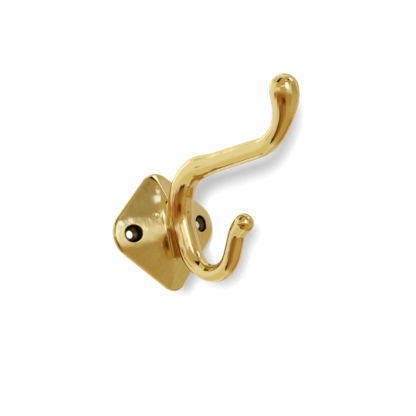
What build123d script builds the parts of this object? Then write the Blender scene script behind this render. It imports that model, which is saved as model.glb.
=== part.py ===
"""Hat and coat hook, cast in one piece of brass on a lozenge back plate.

Frame: X runs along the wall, -Y points out of the wall and +Z is up. The origin lies on the
flat back of the plate, midway between the two screw holes. All sizes are in millimetres.
"""
import os
from math import asin, atan2, cos, degrees, hypot, pi, radians, sin, tan

from build123d import *

# Back plate, seen from the front
plate_width = 45.0
plate_up = 21.5
plate_down = 23.5
top_round = 7.5
side_round = 9.5
foot_round = 5.5

# Back plate, seen in section: a rounded rim, then slopes up to a crest; the two lower slopes are flat
rim_height = 1.6
rim_round = 0.8
side_slope = 18.0
top_slope = 27.5
crest_end_round = 1.4
crest_side_round = 2.0

# Web that stands on the slopes and carries the bow of the hook
web_width = 6.8
web_up = 9.5
web_down = 12.0
web_end_round = 1.4
web_side_round = 8.0

# Screw holes, countersunk
screw_spacing = 31.0
screw_hole = 3.5
head_recess = 6.8
head_seat = 2.6

# Centre line of the hook: a spot on the bow, then straight runs and bends to the hat end and to the tip
bow_out = 13.2
bow_level = -1.1
bow_lean = 7.1
bow_run = 7.5
arm_turn = 98.3
arm_bend = 16.8
arm_run = 33.7
hat_turn = 85.4
hat_bend = 16.8
hat_run = 0.4
foot_turn = 78.5
foot_bend = 13.3
foot_run = 0.9
coat_turn = 58.7
coat_bend = 12.6
coat_run = 7.5
tip_turn = 29.4
tip_bend = 5.8
tip_run = 3.2

# Thickness of the hook, at distances along its centre line from the hat end
ball_radius = 4.9
ball_taper = 14.0
ball_steps = 5
neck_radius = 3.05
arm_station = 36.0
arm_radius = 3.4
arm_root_station = 52.0
arm_root_radius = 3.5
bow_station = 77.0
bow_radius = 4.6
coat_station = 110.0
coat_radius = 3.2
tip_taper = 7.0
tip_neck_radius = 3.05
tip_radius = 3.45

# Sections that the rounded rim is drawn with
rim_turns = (0, 30, 60)

# The plate is drawn facing the wall, the hook in its plane of symmetry
front = Plane.XZ
side = Plane(origin=(0, 0, 0), x_dir=(0, -1, 0), z_dir=(-1, 0, 0))


def tangent_angle(start, start_radius, end, end_radius):
    """Direction of the outward normal of the line that touches two circles on their right."""
    along = (end[0] - start[0], end[1] - start[1])
    turn = asin((start_radius - end_radius) / hypot(*along))
    return (degrees(atan2(along[1], along[0]) + turn) - 90) % 360


def lozenge(height, half_width, up, down, top_radius, side_radius, foot_radius):
    """Lozenge with four rounded corners and straight sides, at a height above the back."""
    top = (0, up - top_radius)
    left = (side_radius - half_width, 0)
    right = (half_width - side_radius, 0)
    foot = (0, foot_radius - down)
    upper = tangent_angle(top, top_radius, left, side_radius)
    lower = tangent_angle(left, side_radius, foot, foot_radius)
    with BuildSketch(front.offset(height)) as section:
        with BuildLine():
            top_arc = CenterArc(top, top_radius, 180 - upper, 2 * upper - 180)
            left_arc = CenterArc(left, side_radius, upper, lower - upper)
            foot_arc = CenterArc(foot, foot_radius, lower, 540 - 2 * lower)
            right_arc = CenterArc(right, side_radius, 180 - lower, lower - upper)
            Line(top_arc @ 1, left_arc @ 0)
            Line(left_arc @ 1, foot_arc @ 0)
            Line(foot_arc @ 1, right_arc @ 0)
            Line(right_arc @ 1, top_arc @ 0)
        make_face()
    return section.sketch


def plate_section(height, inset):
    """Outline of the plate, drawn in by an inset."""
    return lozenge(
        height,
        plate_width / 2 - inset,
        plate_up - inset,
        plate_down - inset,
        top_round - inset,
        side_round - inset,
        foot_round - inset,
    )


def crest_section():
    """Section where the slopes have closed in to the width of the web, with tighter corners at its ends."""
    rise = (plate_width - web_width) / 2 * tan(radians(side_slope))
    return lozenge(
        rim_height + rise,
        web_width / 2,
        plate_up - rise / tan(radians(top_slope)),
        plate_down * web_width / plate_width,
        crest_end_round,
        crest_side_round,
        crest_end_round,
    )


def bend_corners(spot, heading, legs):
    """Corners of a line that leaves a spot: each leg is a straight run, then a turn at a bend's radius."""
    corners = []
    lead = 0
    for run, turn, bend in legs:
        tangent = bend * tan(radians(abs(turn)) / 2)
        length = lead + run + tangent
        spot = (spot[0] + length * cos(radians(heading)), spot[1] + length * sin(radians(heading)))
        corners.append(spot)
        heading += turn
        lead = tangent
    return corners


def ball_radius_at(distance):
    """Radius of the hat end: a half cosine from the ball down to the neck."""
    swell = (1 + cos(pi * distance / ball_taper)) / 2
    return neck_radius + (ball_radius - neck_radius) * swell


# Corners of the centre line above and below the spot on the bow: distance out from the wall, height
bow = (bow_out, bow_level)
arm_legs = ((0, -arm_turn, arm_bend), (arm_run, hat_turn, hat_bend), (hat_run, 0, 0))
coat_legs = ((bow_run, foot_turn, foot_bend), (foot_run, coat_turn, coat_bend))
tip_legs = ((coat_run, -tip_turn, tip_bend), (tip_run, 0, 0))
upper = bend_corners(bow, 90 + bow_lean, arm_legs)
lower = bend_corners(bow, bow_lean - 90, coat_legs + tip_legs)

# The web ends inside the bow, as far out as the lower corner of its centre line
web_reach = lower[0][0]

with BuildPart() as hook:
    # Back plate
    sections = [plate_section(0, 0)]
    for turn in rim_turns:
        drop = rim_round * (1 - sin(radians(turn)))
        sections.append(plate_section(rim_height - drop, rim_round * (1 - cos(radians(turn)))))
    sections.append(crest_section())
    loft(sections, ruled=True)

    # Web
    root = rim_height / 2
    foot = lozenge(root, web_width / 2, web_up, web_down, web_end_round, web_side_round, web_end_round)
    extrude(foot, amount=web_reach - root)

    # Hook: a round bar of changing thickness along straight runs and tangent bends
    with BuildLine(side) as centre_line:
        FilletPolyline(*reversed(upper), *lower, radius=[hat_bend, arm_bend, foot_bend, coat_bend, tip_bend])
    bar = centre_line.wire()
    ball_stations = [ball_taper * step / ball_steps for step in range(ball_steps + 1)]
    stations = [(distance, ball_radius_at(distance)) for distance in ball_stations]
    stations += [(arm_station, arm_radius), (arm_root_station, arm_root_radius)]
    stations += [(bow_station, bow_radius), (coat_station, coat_radius)]
    stations += [(bar.length - tip_taper, tip_neck_radius), (bar.length, tip_radius)]
    for distance, radius in stations:
        spot = bar.position_at(distance, PositionMode.LENGTH)
        heading = bar.tangent_at(distance, PositionMode.LENGTH)
        with BuildSketch(Plane(origin=spot, x_dir=(1, 0, 0), z_dir=heading)):
            Circle(radius)
    sweep(path=bar, multisection=True)

    # Round ends of the hook
    for spot, heading, radius in ((bar @ 0, bar % 0 * -1, ball_radius), (bar @ 1, bar % 1, tip_radius)):
        with Locations(Plane(origin=spot, x_dir=(1, 0, 0), z_dir=heading)):
            Sphere(radius, arc_size1=0, align=(Align.CENTER, Align.CENTER, Align.MIN))

    # Screw holes
    with Locations(front.offset(head_seat)):
        with GridLocations(screw_spacing, 0, 2, 1):
            CounterSinkHole(screw_hole / 2, head_recess / 2, depth=web_reach)

hook.part.label = "hook"

os.makedirs("parts", exist_ok=True)
export_step(hook.part, "parts/hook.step")
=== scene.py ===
"""Polished brass hat and coat hook: the cast surface, its finish and the studio around it.

Shapes are worked out in millimetres, with x along the wall, n out from the wall (the frame's -Y) and z up.
"""

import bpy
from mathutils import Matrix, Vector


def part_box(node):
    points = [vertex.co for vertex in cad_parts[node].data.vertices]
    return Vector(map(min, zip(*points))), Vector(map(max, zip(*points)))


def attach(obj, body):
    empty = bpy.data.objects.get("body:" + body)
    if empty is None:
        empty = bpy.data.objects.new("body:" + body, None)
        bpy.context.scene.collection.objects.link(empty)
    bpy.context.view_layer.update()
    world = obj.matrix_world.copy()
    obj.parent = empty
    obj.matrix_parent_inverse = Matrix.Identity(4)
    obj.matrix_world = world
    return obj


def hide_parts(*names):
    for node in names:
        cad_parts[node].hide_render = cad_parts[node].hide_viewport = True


bl_info = {
    "name": "Brass hat and coat hook",
    "version": (1, 0, 0),
    "blender": (4, 5, 0),
    "location": "View3D > Sidebar > Hook",
    "description": "Builds a polished brass hat and coat hook in a white studio",
    "category": "Object",
}

import bpy
import numpy as np
from mathutils import Matrix, Vector

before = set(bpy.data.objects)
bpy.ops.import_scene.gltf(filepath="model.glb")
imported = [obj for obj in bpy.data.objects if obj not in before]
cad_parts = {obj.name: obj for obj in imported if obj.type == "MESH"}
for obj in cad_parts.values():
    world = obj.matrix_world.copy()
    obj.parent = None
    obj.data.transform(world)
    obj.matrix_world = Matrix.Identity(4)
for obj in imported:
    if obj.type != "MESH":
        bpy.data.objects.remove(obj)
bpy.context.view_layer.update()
LOW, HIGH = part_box("hook")
MM = 0.001

# Plate: slopes of its front in degrees, and the radii of its top, side and foot corners at the rim and at the crest
SIDE_SLOPE = 18.0
TOP_SLOPE = 27.5
FOOT_SLOPE = 17.3
RIM_CORNERS = (7.5, 9.5, 5.5)
CREST_CORNERS = (0.8, 3.0, 1.4)
LEVEL_STEP = 0.02
SLOPE_EASE = 0.4

# Web: its reach up and down, its corners, and how far it stops short of the bow's centre line
WEB_UP = 9.5
WEB_DOWN = 12.0
WEB_CORNERS = (1.4, 8.0, 1.4)
WEB_STOP = 1.5

# Rounded edges, and the hollows where the web stands on the plate and the bar on the web
RIM_EDGE = 0.8
BACK_EDGE = 0.3
CREST_EDGE = 0.5
HOLE_EDGE = 0.35
WEB_HOLLOW = 1.6
BAR_HOLLOW = 1.2

# Screw holes: levels and radii at the foot and the top of the cone for the screw's head, and its slope's cosine
CONE_LEVELS = (0.8, 2.6)
CONE_RADII = (1.4, 3.2)
CONE_FACTOR = 0.707

# Centre line of the bar: a spot on the bow (n, z), its upward heading in degrees, and the legs that leave it towards
# the hat end and towards the tip, each a straight run, a turn in degrees and the radius of the bend
BOW_SPOT = (13.2, -1.1)
BOW_HEADING = 97.1
HAT_LEGS = ((0, -98.3, 16.8), (33.7, 85.4, 16.8), (0.32, 0, 1))
COAT_LEGS = ((7.5, 78.5, 13.3), (0.9, 58.7, 12.6), (7.5, -29.4, 5.8), (3.2, 0, 1))
LINE_STEP = 0.1
BEND_EASE = 2.6

# Part of the line that is the bow, and how far out from the wall the plate and web bear on the surface
BOW_FROM = 52
BOW_TO = 100
PLATE_REACH = 19

# Pits in the front of the bow (x, n, z), drawn only as darker, duller spots of painted shade, and a dent in the left
# slope as a ball that is pressed in
PITS = ((-1.9, 23.5, 12.0), (-0.7, 20.7, 9.1), (0.0, 17.9, 3.6))
DENT = (-6.5, 7.2, 5.2)
DENT_RADIUS = 1.3
DENT_EDGE = 0.25

# Camera, as fitted to the plate: unit vectors to its right, up and back to it, the point that it was fitted round,
# its distance, both in metres, and its focal length and the offset of the frame's middle in pixels
VIEW_RIGHT = Vector((0.81116, -0.55295, -0.19041))
VIEW_RISE = Vector((0.11997, -0.16133, 0.97958))
VIEW_BACK = Vector((-0.57238, -0.81744, -0.06453))
VIEW_CENTRE = Vector((0, 0, -0.00075))
VIEW_DISTANCE = 0.4
VIEW_FOCAL = 1060
VIEW_OFFSET = (44.8, 23.9)

# Lamp: its place to the left of the camera and above it, as slopes, and its width in degrees
LAMP_LEFT = 0.092
LAMP_ABOVE = 0.11
LAMP_WIDTH = 12.0

# Backdrop: its place along the wall and half its size, in metres
PAPER_PLACE = 0.025
PAPER_REACH = 2

# Panels of the light tent as seen from the hook, each laid over those before it: middle (turn to the right of the
# camera, rise above it), width, height, tilt and softness of the edges, all in degrees, then colour and strength
TENT_CLOTH = "#F7F7F7"
TENT = {
    "left_white": (-133, 17, 22, 26, 0, 8, "#FFFFFF", 1.3),
    "left_low": (-115, -54, 80, 56, 0, 24, "#E6DCBC", 1.0),
    "left_high": (-108, 55, 46, 46, 0, 12, "#DFD3AD", 1.0),
    "right_back": (150, -10, 70, 140, 0, 14, "#D7CFC0", 1.0),
    "room": (28, 0, 188, 170, 0, 34, "#CBB683", 1.0),
    "room_low": (48, -52, 155, 55, 0, 20, "#CAAD6A", 1.0),
    "table": (25, -42, 50, 22, 0, 12, "#CDB57C", 1.0),
    "right_mid": (32, -18, 50, 24, 0, 10, "#B9A06D", 1.0),
    "right_wall": (82, -24, 60, 34, 0, 22, "#CAC19B", 1.0),
    "right_low": (118, -44, 36, 34, 25, 10, "#B8885D", 1.0),
    "right_shelf": (80, 14, 60, 19, 0, 6, "#B8A780", 1.0),
    "right_far": (125, 22, 50, 27, 0, 8, "#D7CFCB", 1.0),
    "wood_fade": (-10, -44, 44, 36, 0, 18, "#B4884C", 1.0),
    "wood_low": (-40, -47, 44, 38, 0, 10, "#9E7244", 1.0),
    "wood_front": (-34, -17, 80, 20, 0, 12, "#A66C34", 1.0),
    "wood_dark": (-12, -25, 34, 16, 0, 8, "#8A4519", 1.0),
    "wood_spot": (-8, -24, 14, 7, 0, 4, "#6A3010", 1.0),
    "wood_tip": (-76, -11, 32, 8, -4, 4, "#B8885D", 1.0),
    "shade_low": (-58, -54, 22, 24, 0, 8, "#58391C", 1.0),
    "shade_high": (-62, 58, 36, 40, 0, 8, "#2E2010", 1.0),
    "left_strip": (-62, 1, 60, 7, 3, 4, "#F4F3E4", 1.0),
    "upper_wall": (40, 56, 26, 40, 0, 5, "#AFA07A", 1.0),
    "shade_top": (60, 58, 34, 10, 0, 4, "#3A3020", 1.0),
    "window_right": (33, 11, 34, 26, 0, 12, "#EEF0F4", 1.0),
    "window_long": (-10, 14, 34, 9, 8, 6, "#D8DCF4", 1.5),
    "window_high": (19, 22, 26, 34, 0, 3, "#C2D4FF", 2.2),
    "window_top": (21, 55, 11, 8, 0, 2.5, "#BACAFF", 2.2),
    "lamp": (89, 53, 30, 22, 0, 4, "#C5DAFF", 2.1),
}


class HookSizes(bpy.types.PropertyGroup):
    """Sizes of the casting."""

    plate_width: bpy.props.FloatProperty(
        name="Plate width", description="Width of the back plate", default=HIGH.x - LOW.x, unit="LENGTH"
    )
    plate_up: bpy.props.FloatProperty(
        name="Plate up", description="Reach of the plate above the screw holes", default=0.0215, unit="LENGTH"
    )
    plate_down: bpy.props.FloatProperty(
        name="Plate down", description="Reach of the plate below the screw holes", default=-LOW.z, unit="LENGTH"
    )
    rim_height: bpy.props.FloatProperty(
        name="Rim height", description="Thickness of the plate at its rim", default=0.0016, unit="LENGTH"
    )
    web_width: bpy.props.FloatProperty(
        name="Web width", description="Thickness of the web that carries the bow", default=0.0068, unit="LENGTH"
    )
    screw_spacing: bpy.props.FloatProperty(
        name="Screw spacing", description="Distance between the two screw holes", default=0.031, unit="LENGTH"
    )
    ball_radius: bpy.props.FloatProperty(
        name="Ball radius", description="Radius of the ball on the hat end", default=0.00488, unit="LENGTH"
    )
    bow_radius: bpy.props.FloatProperty(
        name="Bow radius", description="Radius of the bar where it is thickest", default=0.00465, unit="LENGTH"
    )
    tip_radius: bpy.props.FloatProperty(
        name="Tip radius", description="Radius of the round tip of the coat hook", default=0.00345, unit="LENGTH"
    )
    grid: bpy.props.FloatProperty(
        name="Grid", description="Spacing of the grid the surface is found on", default=0.00033, unit="LENGTH"
    )


class HookFinish(bpy.types.PropertyGroup):
    """Finish of the brass."""

    brass: bpy.props.StringProperty(name="Brass", description="Colour of the polished brass", default="#EAD490")
    # The dark colour in the screw holes and pits is partly unpolished brass and partly painted shade
    dull_shaded_recess: bpy.props.StringProperty(
        name="Recess", description="Colour of the unpolished brass in the screw holes", default="#1E150B"
    )
    polish: bpy.props.FloatProperty(
        name="Polish", description="Roughness of the polished bar", default=0.07, subtype="FACTOR"
    )
    haze: bpy.props.FloatProperty(
        name="Haze", description="Roughness of the plate's slopes", default=0.14, subtype="FACTOR"
    )


class HookStage(bpy.types.PropertyGroup):
    """Camera, light and backdrop."""

    backdrop: bpy.props.StringProperty(name="Backdrop", description="Colour of the backdrop", default="#FFFFFF")
    lens: bpy.props.FloatProperty(name="Lens", description="Focal length", default=91.7, unit="CAMERA")
    lamp: bpy.props.FloatProperty(name="Lamp", description="Strength of the lamp that casts the shadow", default=2.7)
    ambient: bpy.props.FloatProperty(name="Ambient", description="Light that fills the shadow", default=0.55)


def linear(colour):
    """Linear red, green, blue and alpha of an sRGB hex colour."""
    parts = np.array([int(colour[i : i + 2], 16) for i in (1, 3, 5)]) / 255
    channels = np.where(parts <= 0.04045, parts / 12.92, ((parts + 0.055) / 1.055) ** 2.4)
    return (*channels.tolist(), 1.0)


def add_node(tree, kind, settings=None, inputs=None, links=None):
    """Adds one shader node with its settings, socket values and links from other nodes' outputs."""
    node = tree.nodes.new(kind)
    for name, value in (settings or {}).items():
        setattr(node, name, value)
    for name, value in (inputs or {}).items():
        node.inputs[name].default_value = value
    for name, output in (links or {}).items():
        tree.links.new(output, node.inputs[name])
    return node


def soft_step(value, low, high):
    """Even rise from 0 at the low value to 1 at the high one, with soft ends."""
    share = np.clip((value - low) / (high - low), 0, 1)
    return share * share * (3 - 2 * share)


def eased(values, step, width):
    """Running mean of a table with a raised-cosine window of the given width, ends carried on evenly."""
    half = max(int(round(width / step)), 1)
    window = 1 + np.cos(np.linspace(-np.pi, np.pi, 2 * half + 1))
    window /= window.sum()
    head = 2 * values[0] - values[half:0:-1]
    tail = 2 * values[-1] - values[-2 : -half - 2 : -1]
    return np.convolve(np.concatenate([head, values, tail]), window, mode="valid")


def leg_table(heading, legs):
    """Distances along a row of legs and the headings there: even on a run, turning evenly along a bend."""
    lengths = [0.0]
    headings = [heading]
    for run, turn, bend in legs:
        lengths += [lengths[-1] + run, lengths[-1] + run + abs(np.radians(turn)) * bend]
        headings += [headings[-1], headings[-1] + turn]
    return np.array(lengths), np.array(headings)


def centre_line():
    """Centre line of the bar, from the hat end to the tip.

    Legs leave a spot on the bow, up to the hat end and down to the tip. The heading along them is eased, and the
    places are its running sum. Returns the distances along the line, the places (n, z) and the unit tangents.
    """
    up_lengths, up_headings = leg_table(BOW_HEADING, HAT_LEGS)
    down_lengths, down_headings = leg_table(BOW_HEADING - 180, COAT_LEGS)
    knots = np.concatenate([-up_lengths[::-1], down_lengths])
    turns = np.concatenate([up_headings[::-1] - 180, down_headings])
    along = np.arange(knots[0], knots[-1] + LINE_STEP / 2, LINE_STEP)
    heading = np.radians(eased(np.interp(along, knots, turns), LINE_STEP, BEND_EASE))
    tangent = np.stack([np.cos(heading), np.sin(heading)], axis=1)
    middle = (tangent[1:] + tangent[:-1]) / 2 * LINE_STEP
    place = np.concatenate([np.zeros((1, 2)), np.cumsum(middle, axis=0)])
    anchor = int(np.argmin(np.abs(along)))
    return along - knots[0], place - place[anchor] + np.array(BOW_SPOT), tangent


def bar_radius(along, sizes):
    """Radius of the bar: stations (distance from the hat end, radius), joined by half cosines."""
    length = along[-1]
    bow = sizes.bow_radius / MM
    table = (
        (0, sizes.ball_radius / MM),
        (14.0, 3.05),
        (36.0, 3.4),
        (48.0, 3.5),
        (63.0, bow - 0.2),
        (78.0, bow),
        (94.0, bow - 0.4),
        (110.0, 3.2),
        (length - 7.0, 3.05),
        (length, sizes.tip_radius / MM),
    )
    stations, radii = np.array(table).T
    numbers = np.arange(len(table))
    count = np.interp(along, stations, numbers)
    share = count - np.floor(count)
    return np.interp(np.floor(count) + (1 - np.cos(np.pi * share)) / 2, numbers, radii)


def lozenge_gap(x, z, half_width, up, down, top_round, side_round, foot_round):
    """Signed distance in the plate's plane to a lozenge with rounded corners, negative inside.

    It is the hull of three circles on the right half. For each circle the distance is taken along the
    direction from its centre, held between the normals of the tangent lines beside it; the largest counts.
    """
    x = np.abs(x)
    top = up - top_round
    side = half_width - side_round
    foot = foot_round - down
    upper = np.arctan2(top, -side) - np.arccos((side_round - top_round) / np.hypot(side, top))
    lower = np.arctan2(-foot, side) - np.arccos((foot_round - side_round) / np.hypot(side, foot))

    def from_circle(across, rise, radius, least, most):
        angle = np.clip(np.arctan2(rise, across), least, most)
        return across * np.cos(angle) + rise * np.sin(angle) - radius

    gap = from_circle(x - side, z, side_round, lower, upper)
    gap = np.maximum(gap, from_circle(x, z - top, top_round, upper, np.pi / 2))
    return np.maximum(gap, from_circle(x, z - foot, foot_round, -np.pi / 2, lower))


def rounded_cut(first, second, radius):
    """Larger of two signed distances, with the edge between them rounded to a circle of the radius."""
    outside = np.hypot(np.maximum(first + radius, 0), np.maximum(second + radius, 0))
    return np.minimum(np.maximum(first, second), -radius) + outside


def soft_join(first, second, width):
    """Smaller of two signed distances, with a cubic fillet of the width between them."""
    share = np.maximum(width - np.abs(first - second), 0) / width
    return np.minimum(first, second) - share**3 * width / 6


class Casting:
    """Signed distance to the surface of the hook, as one field of x, n and z in millimetres."""

    def __init__(self, sizes):
        self.along, self.place, self.tangent = centre_line()
        self.radius = bar_radius(self.along, sizes)
        self.half_width = sizes.plate_width / MM / 2
        self.up = sizes.plate_up / MM
        self.down = sizes.plate_down / MM
        self.rim = sizes.rim_height / MM
        self.web = sizes.web_width / MM / 2
        self.crest = self.rim + (self.half_width - self.web) * np.tan(np.radians(SIDE_SLOPE))
        self.screw = sizes.screw_spacing / MM / 2
        self.levels = np.arange(-2, 20, LEVEL_STEP)
        self.reaches = self.section_tables()
        bow = self.place[(self.along > BOW_FROM) & (self.along < BOW_TO)]
        self.bow_out, self.bow_height = bow[np.argsort(bow[:, 1])].T

    def section_tables(self):
        """Sizes of the lozenge at each level: even slopes from the rim to the crest, corners tightening on the way.

        The top and foot corners tighten at once above the rim, the side corners only towards the crest.
        """
        climb = np.clip(self.levels, None, self.crest) - self.rim
        share = np.clip(climb / (self.crest - self.rim), 0, 1)
        early = 1 - (1 - share) ** 6
        late = share**3
        tables = [
            self.half_width - climb / np.tan(np.radians(SIDE_SLOPE)),
            self.up - climb / np.tan(np.radians(TOP_SLOPE)),
            self.down - climb / np.tan(np.radians(FOOT_SLOPE)),
        ]
        for start, end, tighter in zip(RIM_CORNERS, CREST_CORNERS, (early, late, early)):
            tables.append(start + (end - start) * tighter)
        return [eased(table, LEVEL_STEP, SLOPE_EASE) for table in tables]

    def section_gap(self, x, n, z):
        """Distance, in the plane of a level, to that level's lozenge."""
        return lozenge_gap(x, z, *(np.interp(n, self.levels, table) for table in self.reaches))

    def on_line(self, along, table):
        """Both columns of a table of the centre line, at distances along it."""
        return [np.interp(along, self.along, column) for column in table.T]

    def bar_gap(self, x, n, z, block=20000, stride=4):
        """Distance to the round bar: nearest place on the centre line, less the radius there.

        The nearest of every fourth place is found first, then two steps along the tangent bring it closer.
        """
        flat_n, flat_z = (part.ravel() for part in np.broadcast_arrays(n, z))
        line_n, line_z = self.place[::stride].astype(np.float32).T
        nearest = np.empty(len(flat_n), int)
        for part in np.array_split(np.arange(len(flat_n)), len(flat_n) // block + 1):
            across = flat_n[part, None].astype(np.float32) - line_n
            rise = flat_z[part, None].astype(np.float32) - line_z
            nearest[part] = stride * np.argmin(across**2 + rise**2, axis=1)
        along = self.along[nearest]
        for _ in range(2):
            place_n, place_z = self.on_line(along, self.place)
            heading_n, heading_z = self.on_line(along, self.tangent)
            step = (flat_n - place_n) * heading_n + (flat_z - place_z) * heading_z
            along = np.clip(along + step, 0, self.along[-1])
        place_n, place_z = self.on_line(along, self.place)
        shape = np.broadcast(n, z).shape
        off = np.hypot(flat_n - place_n, flat_z - place_z).reshape(shape)
        return np.hypot(x, off) - np.interp(along, self.along, self.radius).reshape(shape)

    def hole_gap(self, x, n, z):
        """Distance to a screw hole: a bore, a cone for the screw's head and a straight mouth."""
        off = np.hypot(np.abs(x) - self.screw, z) - np.interp(n, CONE_LEVELS, CONE_RADII)
        return off * np.where((n > CONE_LEVELS[0]) & (n < CONE_LEVELS[1]), CONE_FACTOR, 1)

    def web_gap(self, x, n, z):
        """Distance to the web: a narrow lozenge standing on the slopes, ending inside the bow."""
        gap = lozenge_gap(x, z, self.web, WEB_UP, WEB_DOWN, *WEB_CORNERS)
        cap = n - (np.interp(z, self.bow_height, self.bow_out) - WEB_STOP)
        return rounded_cut(gap, cap, CREST_EDGE)

    def plate_gap(self, x, n, z, reach=0.05):
        """Distance to the plate and its web, cut to the plate's outline and flat back.

        The distance in a level's plane is divided by the length of its gradient, which the slope makes longer.
        """
        gap = self.section_gap(x, n, z)
        rise = (self.section_gap(x, n + reach, z) - self.section_gap(x, n - reach, z)) / (2 * reach)
        gap = rounded_cut(gap / np.hypot(1, rise), n - self.crest, CREST_EDGE)
        gap = soft_join(gap, self.web_gap(x, n, z), WEB_HOLLOW)
        outline = lozenge_gap(x, z, self.half_width, self.up, self.down, *RIM_CORNERS)
        return rounded_cut(rounded_cut(gap, outline, RIM_EDGE), -n, BACK_EDGE)

    def body_gap(self, x, n, z):
        """Distance to the plate, the web and the bar, before the holes and the dent are taken out."""
        return soft_join(self.plate_gap(x, n, z), self.bar_gap(x, n, z), BAR_HOLLOW)

    def gap(self, x, n, z):
        """Distance to the whole casting, with the screw holes and the dent taken out."""
        whole = rounded_cut(self.body_gap(x, n, z), -self.hole_gap(x, n, z), HOLE_EDGE)
        dent = np.sqrt((x - DENT[0]) ** 2 + (n - DENT[1]) ** 2 + (z - DENT[2]) ** 2) - DENT_RADIUS
        return rounded_cut(whole, -dent, DENT_EDGE)

    def slope(self, points, reach=0.02):
        """Gradient of the field at points, by central differences."""
        parts = []
        for offset in reach * np.eye(3):
            ahead = self.gap(*(points + offset).T)
            behind = self.gap(*(points - offset).T)
            parts.append((ahead - behind) / (2 * reach))
        return np.stack(parts, axis=1)


def surface_net(field, origin, step):
    """Quads round the zero level of a field on a grid: one point in each cell it crosses.

    Each point is the mean of the crossings on its cell's edges; each grid edge that crosses the level
    gives one quad between the four cells around it, turned to face outwards.
    """
    inside = field < 0
    size = [count - 1 for count in field.shape]
    corners = [(i, j, k) for i in (0, 1) for j in (0, 1) for k in (0, 1)]
    count = sum(inside[i : i + size[0], j : j + size[1], k : k + size[2]].astype(np.int8) for i, j, k in corners)
    cells = np.argwhere((count > 0) & (count < 8))
    number = np.full(size, -1, np.int64)
    number[tuple(cells.T)] = np.arange(len(cells))
    total = np.zeros((len(cells), 3))
    hits = np.zeros(len(cells))
    for axis in range(3):
        for corner in corners:
            if corner[axis] == 0:
                other = np.array(corner)
                other[axis] = 1
                first = field[tuple((cells + corner).T)]
                second = field[tuple((cells + other).T)]
                crosses = (first < 0) != (second < 0)
                share = np.where(crosses, first / np.where(crosses, first - second, 1), 0)
                spot = cells + np.array(corner, float)
                spot[:, axis] += share
                total += spot * crosses[:, None]
                hits += crosses
    points = origin + step * total / hits[:, None]
    quads = []
    for axis in range(3):
        ahead, across = (axis + 1) % 3, (axis + 2) % 3
        low = np.take(inside, range(size[axis]), axis)
        high = np.take(inside, range(1, size[axis] + 1), axis)
        edges = np.argwhere(low != high)
        keep = (edges[:, ahead] > 0) & (edges[:, ahead] < size[ahead])
        keep &= (edges[:, across] > 0) & (edges[:, across] < size[across])
        edges = edges[keep]
        rings = []
        for back_ahead, back_across in ((1, 1), (0, 1), (0, 0), (1, 0)):
            cell = edges.copy()
            cell[:, ahead] -= back_ahead
            cell[:, across] -= back_across
            rings.append(number[tuple(cell.T)])
        ring = np.stack(rings, axis=1)
        outward = low[tuple(edges.T)]
        quads.append(np.where(outward[:, None], ring, ring[:, ::-1]))
    return points, np.concatenate(quads)


def neighbour_mean(points, quads):
    """Mean of the points next to each point along the quads' edges."""
    starts = quads.ravel()
    ends = np.roll(quads, -1, axis=1).ravel()
    count = np.bincount(starts, minlength=len(points)) + np.bincount(ends, minlength=len(points))
    total = np.empty_like(points)
    for axis in range(3):
        total[:, axis] = np.bincount(starts, points[ends, axis], len(points))
        total[:, axis] += np.bincount(ends, points[starts, axis], len(points))
    return total / count[:, None]


def unit(vectors):
    """Rows of a table brought to length 1."""
    return vectors / np.linalg.norm(vectors, axis=1, keepdims=True)


def cast_surface(casting, step, rounds=3, even=0.6, most=0.2):
    """Points, quads and normals of the casting: a surface net, evened out and drawn back onto the field.

    The field is worked out for the right half and mirrored. In each round the points move along the surface by a
    share of the way to their neighbours' mean, then along the gradient to the zero level.
    """
    margin = 3 * step
    x = np.arange(0, casting.half_width + 2 * step, step)
    n = np.arange(-margin, -LOW.y / MM + margin, step)
    z = np.arange(LOW.z / MM - margin, HIGH.z / MM + margin, step)
    base = n < PLATE_REACH
    half = casting.bar_gap(x[:, None, None], n[None, :, None], z[None, None, :])
    half[:, base] = casting.gap(x[:, None, None], n[None, base, None], z[None, None, :])
    field = np.concatenate([half[:0:-1], half])
    points, quads = surface_net(field, np.array([-x[-1], n[0], z[0]]), step)
    for _ in range(rounds):
        normal = unit(casting.slope(points))
        shift = (neighbour_mean(points, quads) - points) * even
        shift -= normal * (shift * normal).sum(axis=1, keepdims=True)
        points = points + shift
        slope = casting.slope(points)
        draw = casting.gap(*points.T) / np.maximum((slope**2).sum(axis=1), 0.05)
        points = points - slope * np.clip(draw, -most, most)[:, None]
    return points, quads, unit(casting.slope(points))


def into_frame(vectors):
    """Rows of (x, n, z) as rows of the frame's x, y and z."""
    return vectors * np.array([1, -1, 1])


def dull_shaded_share(casting, points):
    """How much dull, dark brass each point takes inside a screw hole or a pit, as unpolished metal and painted shade:
    1 on a hole's walls and 0 outside its rounded edge.
    """
    x, n, z = points.T
    below = soft_step(-casting.body_gap(x, n, z), 0.12, 0.3)
    wall = soft_step(-casting.hole_gap(x, n, z), -0.5, -0.2)
    # Painted shade, deepest on the mouth's steep wall: the bore and the cone keep a little more of the brass than the
    # mouth
    mouth = 0.75 + 0.25 * soft_step(np.hypot(np.abs(x) - casting.screw, z), 2.0, 2.8)
    # Pits take 0.6 of the dark colour as small spots of painted shade
    pit = np.min([np.linalg.norm(points - spot, axis=1) for spot in PITS], axis=0)
    return np.maximum(below * wall * mouth, 0.6 * (1 - soft_step(pit, 0.2, 0.6)))


def haze_share(casting, points):
    """How hazy each point is: 1 on the plate's slopes, 0 on the rim, the upper ridge, the web and the bar."""
    x, n, z = points.T
    off_rim = soft_step(n, 1.3, 2.2)
    off_ridge = np.maximum(soft_step(np.abs(x), 2.5, 6.5), 1 - soft_step(z, 2.0, 7.0))
    off_web = 1 - soft_step(n, 6.5, 9.0)
    return off_rim * off_ridge * off_web * soft_step(casting.bar_gap(x, n, z), 0.5, 2.0)


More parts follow.
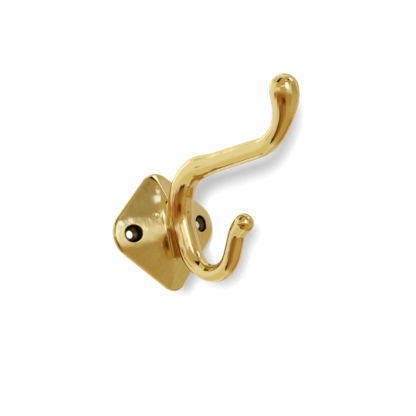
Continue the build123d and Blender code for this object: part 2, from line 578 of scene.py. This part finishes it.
def brass_material(finish):
    """Cast brass, ground and buffed: a mirror on the bar, a hazier polish on the plate, dull inside the holes, where
    the dark colour is partly painted shade.
    """
    material = bpy.data.materials.new("polished_brass")
    material.use_nodes = True
    tree = material.node_tree
    shader = tree.nodes["Principled BSDF"]
    shader.inputs["Metallic"].default_value = 1.0
    # Share of the dark colour in the screw holes and pits, partly unpolished brass and partly painted shade
    dull_shaded_recess = add_node(tree, "ShaderNodeAttribute", {"attribute_name": "dull_shaded_recess"}).outputs["Fac"]
    haze = add_node(tree, "ShaderNodeAttribute", {"attribute_name": "haze"}).outputs["Fac"]
    place = add_node(tree, "ShaderNodeTexCoord").outputs["Object"]
    # Buffing leaves soft blotches about 1.2 mm across on the slopes, some a little darker
    blotch = add_node(
        tree, "ShaderNodeTexNoise", inputs={"Scale": 1 / 0.0012, "Detail": 3.0}, links={"Vector": place}
    ).outputs["Fac"]
    tarnish = add_node(
        tree,
        "ShaderNodeMapRange",
        inputs={"From Min": 0.4, "From Max": 0.8, "To Max": 0.1},
        links={"Value": blotch},
    )
    shade = add_node(
        tree, "ShaderNodeMath", {"operation": "MULTIPLY"}, links={0: tarnish.outputs["Result"], 1: haze}
    )
    # The blotches darken a little at random; the holes and pits take the dark colour, partly unpolished brass and
    # partly painted shade
    cover = add_node(tree, "ShaderNodeMath", {"operation": "MAXIMUM"}, links={0: shade.outputs[0], 1: dull_shaded_recess})
    colour = add_node(
        tree,
        "ShaderNodeMix",
        {"data_type": "RGBA"},
        inputs={6: linear(finish.brass), 7: linear(finish.dull_shaded_recess)},
        links={0: cover.outputs[0]},
    )
    tree.links.new(colour.outputs[2], shader.inputs["Base Color"])
    # The blotches are hazier or clearer than the slope around them, and the holes were never polished
    mirror = add_node(
        tree,
        "ShaderNodeMapRange",
        inputs={"From Min": 0.3, "From Max": 0.7, "To Min": finish.haze - 0.04, "To Max": finish.haze + 0.04},
        links={"Value": blotch},
    )
    polish = add_node(
        tree,
        "ShaderNodeMapRange",
        inputs={"To Min": finish.polish},
        links={"Value": haze, "To Max": mirror.outputs["Result"]},
    )
    dull = add_node(
        tree,
        "ShaderNodeMapRange",
        inputs={"To Max": 0.4},
        links={"Value": dull_shaded_recess, "To Min": polish.outputs["Result"]},
    )
    tree.links.new(dull.outputs["Result"], shader.inputs["Roughness"])
    # Hand polishing leaves the whole casting faintly wavy, in waves about 5 mm long
    wave = add_node(tree, "ShaderNodeTexNoise", inputs={"Scale": 1 / 0.005, "Detail": 1.0}, links={"Vector": place})
    swell = add_node(
        tree, "ShaderNodeBump", inputs={"Strength": 0.5, "Distance": 0.0003}, links={"Height": wave.outputs["Fac"]}
    )
    rub = add_node(
        tree,
        "ShaderNodeBump",
        inputs={"Distance": 0.00002},
        links={"Strength": haze, "Height": blotch, "Normal": swell.outputs["Normal"]},
    )
    tree.links.new(rub.outputs["Normal"], shader.inputs["Normal"])
    return material


class OBJECT_OT_brass_hook(bpy.types.Operator):
    """Build the cast brass hook"""

    bl_idname = "object.brass_hook"
    bl_label = "Brass hook"

    def execute(self, context):
        sizes = context.scene.hook_sizes
        casting = Casting(sizes)
        points, quads, normals = cast_surface(casting, sizes.grid / MM)
        mesh = bpy.data.meshes.new("hook_brass")
        mesh.from_pydata(into_frame(points) * MM, [], quads[:, ::-1])
        mesh.polygons.foreach_set("use_smooth", np.ones(len(quads), bool))
        mesh.normals_split_custom_set_from_vertices(into_frame(normals))
        # The first share carries the dark colour of the holes and pits, partly painted shade
        for name, share in (("dull_shaded_recess", dull_shaded_share(casting, points)), ("haze", haze_share(casting, points))):
            layer = mesh.attributes.new(name, "FLOAT", "POINT")
            layer.data.foreach_set("value", share.astype(np.float32))
        mesh.materials.append(brass_material(context.scene.hook_finish))
        hook = bpy.data.objects.new("hook_brass", mesh)
        context.scene.collection.objects.link(hook)
        hook.visible_diffuse = False
        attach(hook, "root")
        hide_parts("hook")
        return {"FINISHED"}


def add_camera(scene, lens):
    """Camera at the fitted place, turned towards the frame's middle. Returns its right, up and forward directions."""
    data = bpy.data.cameras.new("camera")
    data.lens = lens
    data.sensor_width = 36
    data.clip_start = 0.01
    camera = bpy.data.objects.new("camera", data)
    place = VIEW_CENTRE + VIEW_BACK * VIEW_DISTANCE
    offset = VIEW_RIGHT * (VIEW_OFFSET[0] / VIEW_FOCAL) + VIEW_RISE * (VIEW_OFFSET[1] / VIEW_FOCAL)
    look = (offset - VIEW_BACK).normalized()
    side = look.cross(VIEW_RISE).normalized()
    rise = side.cross(look)
    turn = Matrix((side, rise, -look)).transposed().to_4x4()
    camera.matrix_world = Matrix.Translation(place) @ turn
    scene.collection.objects.link(camera)
    scene.camera = camera
    return side, rise, look


def tent_mesh(side, rise, back, radius=3.0, step=1.5):
    """Sphere round the hook on a grid of turn and rise, coloured by the soft-edged panels of the tent."""
    turn = np.arange(-180, 180 + step / 2, step)
    height = np.arange(-90, 90 + step / 2, step)
    turn, height = np.meshgrid(turn, height, indexing="ij")
    colour = np.ones(turn.shape + (4,)) * np.array(linear(TENT_CLOTH))
    for middle, level, width, tall, tilt, soft, shade, strength in TENT.values():
        across = (turn - middle) * np.cos(np.radians(tilt)) + (height - level) * np.sin(np.radians(tilt))
        upward = (height - level) * np.cos(np.radians(tilt)) - (turn - middle) * np.sin(np.radians(tilt))
        inner = np.minimum(width / 2 - np.abs(across), tall / 2 - np.abs(upward))
        share = soft_step(inner, -soft / 2, soft / 2)[..., None]
        colour = colour * (1 - share) + np.array(linear(shade)) * strength * share
    turn, height = np.radians(turn), np.radians(height)
    across = (np.cos(height) * np.sin(turn))[..., None] * np.array(side)
    upward = np.sin(height)[..., None] * np.array(rise)
    points = (across + upward + (np.cos(height) * np.cos(turn))[..., None] * np.array(back)) * radius
    number = np.arange(turn.size).reshape(turn.shape)
    quads = np.stack([number[:-1, :-1], number[1:, :-1], number[1:, 1:], number[:-1, 1:]], axis=-1).reshape(-1, 4)
    mesh = bpy.data.meshes.new("light_tent")
    mesh.from_pydata(points.reshape(-1, 3), [], quads)
    layer = mesh.attributes.new("panel", "FLOAT_COLOR", "POINT")
    layer.data.foreach_set("color", colour.ravel())
    return mesh


def tent_material():
    """White cloth and panels of the tent, as even light of their own colour."""
    material = bpy.data.materials.new("tent_cloth")
    material.use_nodes = True
    tree = material.node_tree
    tree.nodes.clear()
    panel = add_node(tree, "ShaderNodeAttribute", {"attribute_name": "panel"})
    light = add_node(tree, "ShaderNodeEmission", links={"Color": panel.outputs["Color"]})
    add_node(tree, "ShaderNodeOutputMaterial", links={"Surface": light.outputs["Emission"]})
    return material


def add_tent(scene, side, rise, back):
    """Light tent round the hook, seen only in its polish."""
    tent = bpy.data.objects.new("light_tent", tent_mesh(side, rise, back))
    tent.data.materials.append(tent_material())
    tent.visible_camera = False
    tent.visible_diffuse = False
    tent.visible_shadow = False
    scene.collection.objects.link(tent)


def backdrop_material(colour):
    """White paper, seen from its front only, so that it hides nothing from behind."""
    material = bpy.data.materials.new("white_paper")
    material.use_nodes = True
    tree = material.node_tree
    tree.nodes.clear()
    paper = add_node(tree, "ShaderNodeBsdfDiffuse", inputs={"Color": linear(colour)})
    clear = add_node(tree, "ShaderNodeBsdfTransparent")
    geometry = add_node(tree, "ShaderNodeNewGeometry")
    mix = add_node(
        tree,
        "ShaderNodeMixShader",
        links={0: geometry.outputs["Backfacing"], 1: paper.outputs["BSDF"], 2: clear.outputs["BSDF"]},
    )
    add_node(tree, "ShaderNodeOutputMaterial", links={"Surface": mix.outputs["Shader"]})
    return material


def add_backdrop(scene, colour):
    """Upright sheet of paper beside the hook, which takes its shadow."""
    paper = bpy.data.meshes.new("backdrop")
    corners = [(PAPER_PLACE, y * PAPER_REACH, z * PAPER_REACH) for y, z in ((-1, -1), (-1, 1), (1, 1), (1, -1))]
    paper.from_pydata(corners, [], [(0, 1, 2, 3)])
    paper.materials.append(backdrop_material(colour))
    backdrop = bpy.data.objects.new("backdrop", paper)
    backdrop.visible_glossy = False
    scene.collection.objects.link(backdrop)


def add_lamp(scene, strength, side, rise, look):
    """Lamp a little to the left of the camera and above it, which casts the soft shadow."""
    lamp = bpy.data.lights.new("lamp", "SUN")
    lamp.energy = strength
    lamp.angle = np.radians(LAMP_WIDTH)
    sun = bpy.data.objects.new("lamp", lamp)
    toward = (-look - side * LAMP_LEFT + rise * LAMP_ABOVE).normalized()
    sun.rotation_mode = "QUATERNION"
    sun.rotation_quaternion = toward.to_track_quat("Z", "Y")
    sun.visible_glossy = False
    scene.collection.objects.link(sun)


def add_world(scene, colour, ambient):
    """Even light from all round, at full strength to the camera and to mirrors and glass."""
    world = bpy.data.worlds.new("studio")
    world.use_nodes = True
    tree = world.node_tree
    path = add_node(tree, "ShaderNodeLightPath")
    seen = path.outputs["Is Camera Ray"]
    for ray in ("Is Glossy Ray", "Is Transmission Ray"):
        both = add_node(tree, "ShaderNodeMath", {"operation": "MAXIMUM"}, links={0: seen, 1: path.outputs[ray]})
        seen = both.outputs[0]
    level = add_node(tree, "ShaderNodeMapRange", inputs={"To Min": ambient}, links={"Value": seen})
    ground = tree.nodes["Background"]
    ground.inputs["Color"].default_value = linear(colour)
    tree.links.new(level.outputs["Result"], ground.inputs["Strength"])
    scene.world = world


class OBJECT_OT_hook_stage(bpy.types.Operator):
    """Set up the camera, the white backdrop and the light"""

    bl_idname = "object.hook_stage"
    bl_label = "Studio"

    def execute(self, context):
        scene = context.scene
        stage = scene.hook_stage
        scene.view_settings.view_transform = "Standard"
        side, rise, look = add_camera(scene, stage.lens)
        add_tent(scene, side, rise, -look)
        add_backdrop(scene, stage.backdrop)
        add_lamp(scene, stage.lamp, side, rise, look)
        add_world(scene, stage.backdrop, stage.ambient)
        return {"FINISHED"}


class VIEW3D_PT_hook(bpy.types.Panel):
    """Lists the pieces of the hook and its studio"""

    bl_idname = "VIEW3D_PT_hook"
    bl_label = "Hat and coat hook"
    bl_space_type = "VIEW_3D"
    bl_region_type = "UI"
    bl_category = "Hook"

    def draw(self, context):
        for operator in (OBJECT_OT_brass_hook, OBJECT_OT_hook_stage):
            self.layout.operator(operator.bl_idname)


CLASSES = (HookSizes, HookFinish, HookStage, OBJECT_OT_brass_hook, OBJECT_OT_hook_stage, VIEW3D_PT_hook)


def register():
    for item in CLASSES:
        bpy.utils.register_class(item)
    bpy.types.Scene.hook_sizes = bpy.props.PointerProperty(type=HookSizes)
    bpy.types.Scene.hook_finish = bpy.props.PointerProperty(type=HookFinish)
    bpy.types.Scene.hook_stage = bpy.props.PointerProperty(type=HookStage)


def unregister():
    del bpy.types.Scene.hook_stage
    del bpy.types.Scene.hook_finish
    del bpy.types.Scene.hook_sizes
    for item in reversed(CLASSES):
        bpy.utils.unregister_class(item)


def main():
    register()
    bpy.ops.object.brass_hook()
    bpy.ops.object.hook_stage()


if __name__ == "__main__":
    main()
